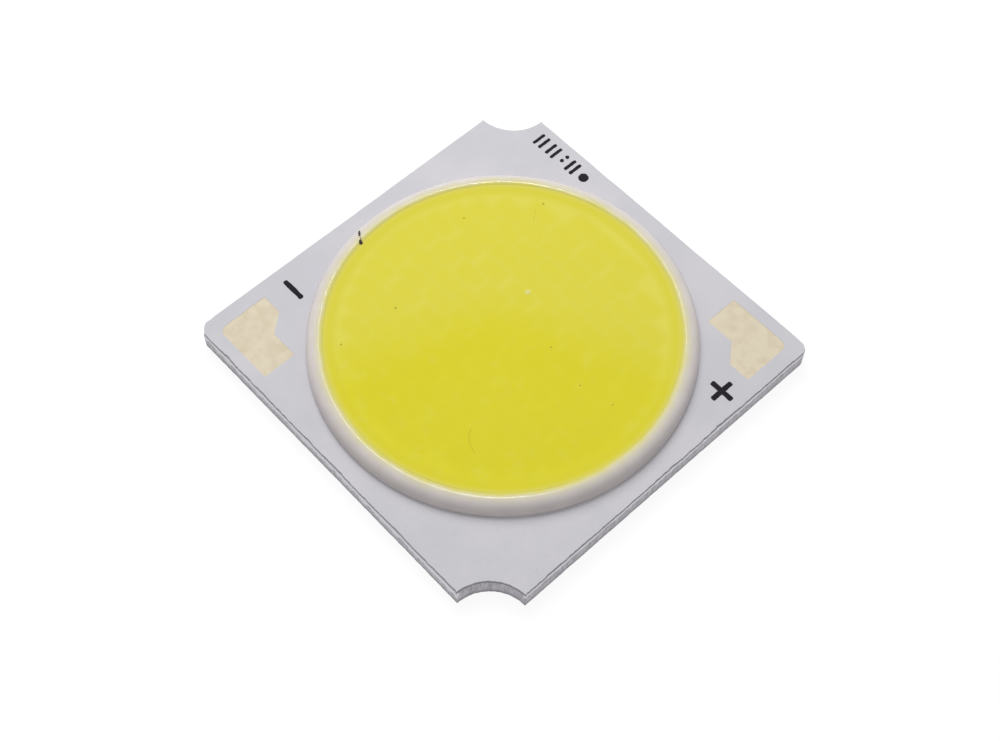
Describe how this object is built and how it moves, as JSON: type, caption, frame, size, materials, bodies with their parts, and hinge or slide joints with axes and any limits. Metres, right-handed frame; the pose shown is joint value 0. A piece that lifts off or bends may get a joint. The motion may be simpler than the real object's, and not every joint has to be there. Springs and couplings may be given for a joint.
{
  "type": "cob led",
  "caption": "Square chip-on-board LED: notched white board with solder pads in opposite corners, and a round dam with a yellow phosphor fill over rows of chips.",
  "frame": {"origin": "middle of the heat face, on the surface that the board rests on", "axes": "+Z out of the light-emitting face; +X and +Y along the board's sides, towards the corner with the anode pad"},
  "size_m": [0.019, 0.019, 0.0017],
  "materials": {
    "aluminium": "bare, punched edges",
    "laminate": "filled resin",
    "copper": "copper foil",
    "white_mask": "satin white solder mask",
    "pad_plating": "pale satin plating",
    "white_silicone": "glossy white silicone",
    "phosphor_silicone": "yellow phosphor in clear silicone, soft gloss",
    "die_attach": "cured adhesive",
    "chip": "clear blue crystal",
    "gold_wire": "drawn gold"
  },
  "bodies": {
    "root": {"aluminium_core": "aluminium", "laminate": "laminate", "cathode_trace": "copper", "anode_trace": "copper", "solder_mask": "white_mask", "cathode_pad": "pad_plating", "anode_pad": "pad_plating", "dam": "white_silicone", "phosphor_fill": "phosphor_silicone", "die_attach": "die_attach", "chips_row_01": "chip", "chips_row_02": "chip", "chips_row_03": "chip", "chips_row_04": "chip", "chips_row_05": "chip", "chips_row_06": "chip", "chips_row_07": "chip", "chips_row_08": "chip", "chips_row_09": "chip", "chips_row_10": "chip", "chips_row_11": "chip", "chips_row_12": "chip", "chips_row_13": "chip", "chips_row_14": "chip", "chips_row_15": "chip", "wires_row_01": "gold_wire", "wires_row_02": "gold_wire", "wires_row_03": "gold_wire", "wires_row_04": "gold_wire", "wires_row_05": "gold_wire", "wires_row_06": "gold_wire", "wires_row_07": "gold_wire", "wires_row_08": "gold_wire", "wires_row_09": "gold_wire", "wires_row_10": "gold_wire", "wires_row_11": "gold_wire", "wires_row_12": "gold_wire", "wires_row_13": "gold_wire", "wires_row_14": "gold_wire", "wires_row_15": "gold_wire"}
  },
  "joints": []
}
